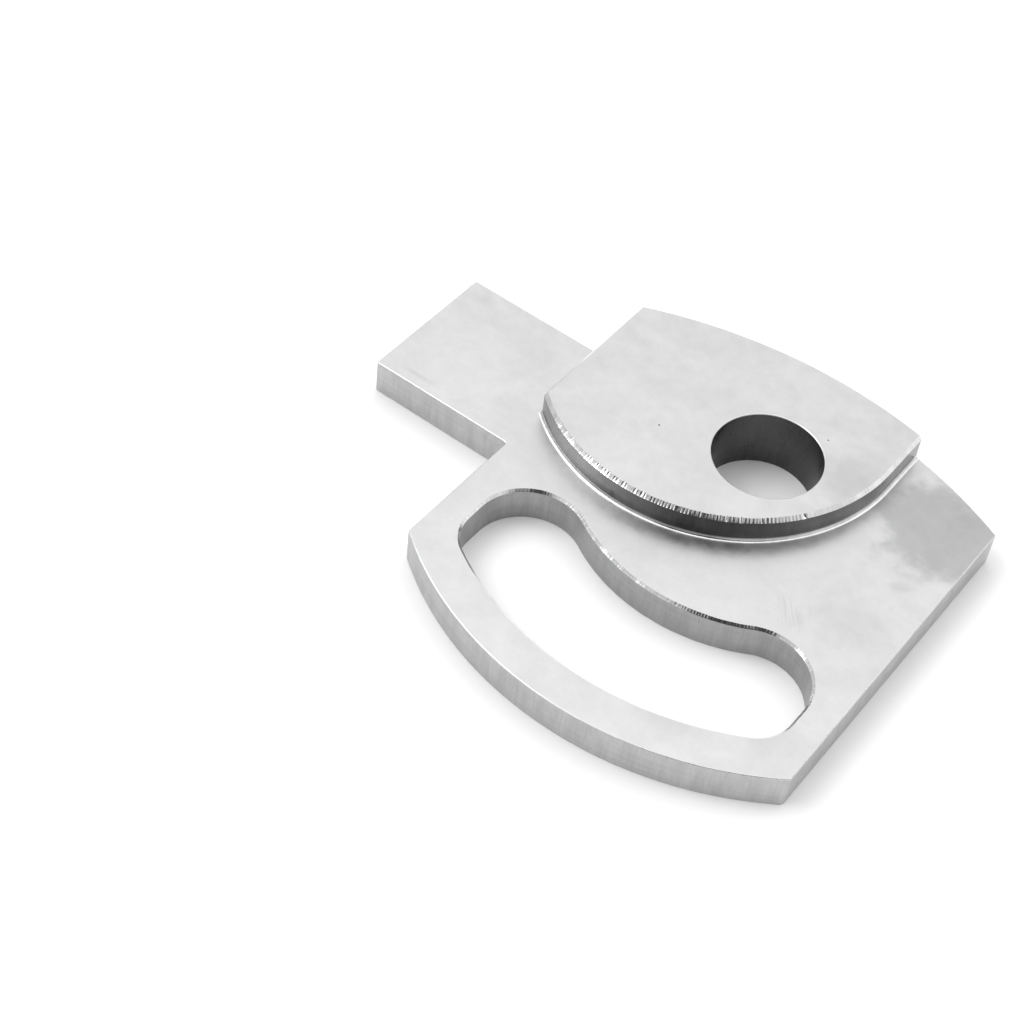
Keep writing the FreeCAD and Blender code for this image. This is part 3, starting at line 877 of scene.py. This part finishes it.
# ============================================================= studio light
# A light tent: three rings of soft panels and a top panel, each ring given as
# brightness by azimuth. The front is open to a darker room, and a brighter
# soft box stands on the left.
w = bpy.data.worlds.new("studio")
scene.world = w
w.use_nodes = True
wt = w.node_tree
bg = wt.nodes["Background"]
wco = wt.nodes.new("ShaderNodeTexCoord")


def wmath(op, a_, b_=None):
    n = wt.nodes.new("ShaderNodeMath")
    n.operation = op
    for k, v in enumerate((a_, b_)):
        if isinstance(v, bpy.types.NodeSocket):
            wt.links.new(v, n.inputs[k])
        elif v is not None:
            n.inputs[k].default_value = v
    return n.outputs[0]


def wstep(v, a_, b_):
    n = wt.nodes.new("ShaderNodeMapRange")
    n.interpolation_type = "SMOOTHSTEP"
    wt.links.new(v, n.inputs["Value"])
    n.inputs["From Min"].default_value = a_
    n.inputs["From Max"].default_value = b_
    return n.outputs[0]


def wmix(t_, a_, b_):
    """a_ where t_ is 0, b_ where t_ is 1"""
    return wmath("ADD", wmath("MULTIPLY", a_, wmath("SUBTRACT", 1.0, t_)), wmath("MULTIPLY", b_, t_))


def direction(az, el):
    a_, e_ = math.radians(az), math.radians(el)
    return (math.cos(e_) * math.cos(a_), math.cos(e_) * math.sin(a_), math.sin(e_))


def lobe(az, el, wide, narrow):
    """1 within `narrow` degrees of a direction, 0 beyond `wide`."""
    n = wt.nodes.new("ShaderNodeVectorMath")
    n.operation = "DOT_PRODUCT"
    wt.links.new(wco.outputs["Generated"], n.inputs[0])
    n.inputs[1].default_value = direction(az, el)
    return wstep(n.outputs["Value"], math.cos(math.radians(wide)), math.cos(math.radians(narrow)))


wsep = wt.nodes.new("ShaderNodeSeparateXYZ")
wt.links.new(wco.outputs["Generated"], wsep.inputs[0])
turn = wmath("MULTIPLY", wmath("ARCTAN2", wsep.outputs[1], wsep.outputs[0]), 180 / math.pi)
turn = wmath("FRACT", wmath("DIVIDE", wmath("SUBTRACT", turn, 192.5), 360.0))
rise = wmath("MULTIPLY", wmath("ARCSINE", wsep.outputs[2]), 180 / math.pi)

PANELS = [215, 270, 310, 350, 395, 440, 485, 530]    # azimuths where one panel ends and the next begins
#        left   front-left  block  front  right-f  right  back   back-left
LOW = [0.60, 0.50, 0.40, 0.80, 1.00, 0.95, 1.05, 0.90]
MID = [0.70, 0.60, 0.02, 0.50, 0.75, 1.10, 0.95, 1.10]
HIGH = [1.70, 1.30, 0.02, 0.08, 1.05, 1.72, 1.52, 1.75]
TOP = 1.75
SOFT_BOX = 3.0


def ring_of(values):
    n = wt.nodes.new("ShaderNodeValToRGB")
    cr = n.color_ramp
    cr.interpolation = "LINEAR"
    wt.links.new(turn, n.inputs[0])
    stops = [(0.0, values[0])]
    for k, edge in enumerate(PANELS):
        m_ = (edge - 192.5) / 360
        stops.append((m_ - 3 / 360, values[k]))
        stops.append((m_ + 3 / 360, values[(k + 1) % 8]))
    stops.append((1.0, values[0]))
    while len(cr.elements) < len(stops):
        cr.elements.new(0.5)
    for e_, (p_, v_) in zip(cr.elements, stops):
        e_.position = p_
        e_.color = (v_ / 4, v_ / 4, v_ / 4, 1)
    return wmath("MULTIPLY", n.outputs[0], 4.0)


level = wmix(wstep(rise, 18, 26), ring_of(LOW), ring_of(MID))
level = wmix(wstep(rise, 41, 46), level, ring_of(HIGH))
level = wmix(wstep(rise, 62, 70), level, TOP)
level = wmath("ADD", level, wmath("MULTIPLY", lobe(-152, 50, 21, 15), SOFT_BOX))
wt.links.new(level, bg.inputs["Strength"])
bg.inputs["Color"].default_value = (1, 1, 1, 1)

scene.view_settings.view_transform = "Standard"
scene.view_settings.look = "None"
scene.view_settings.exposure = 0.0

fm = bpy.data.meshes.new("floor")
bm = bmesh.new()
bmesh.ops.create_grid(bm, size=3.0)
bm.to_mesh(fm)
bm.free()
floor = bpy.data.objects.new("floor", fm)
scene.collection.objects.link(floor)
mf = bpy.data.materials.new("floor_white")
mf.use_nodes = True
pb = mf.node_tree.nodes["Principled BSDF"]
pb.inputs["Base Color"].default_value = (0.93, 0.93, 0.93, 1)
pb.inputs["Roughness"].default_value = 0.9
pb.inputs["Specular IOR Level"].default_value = 0.1
fm.materials.append(mf)
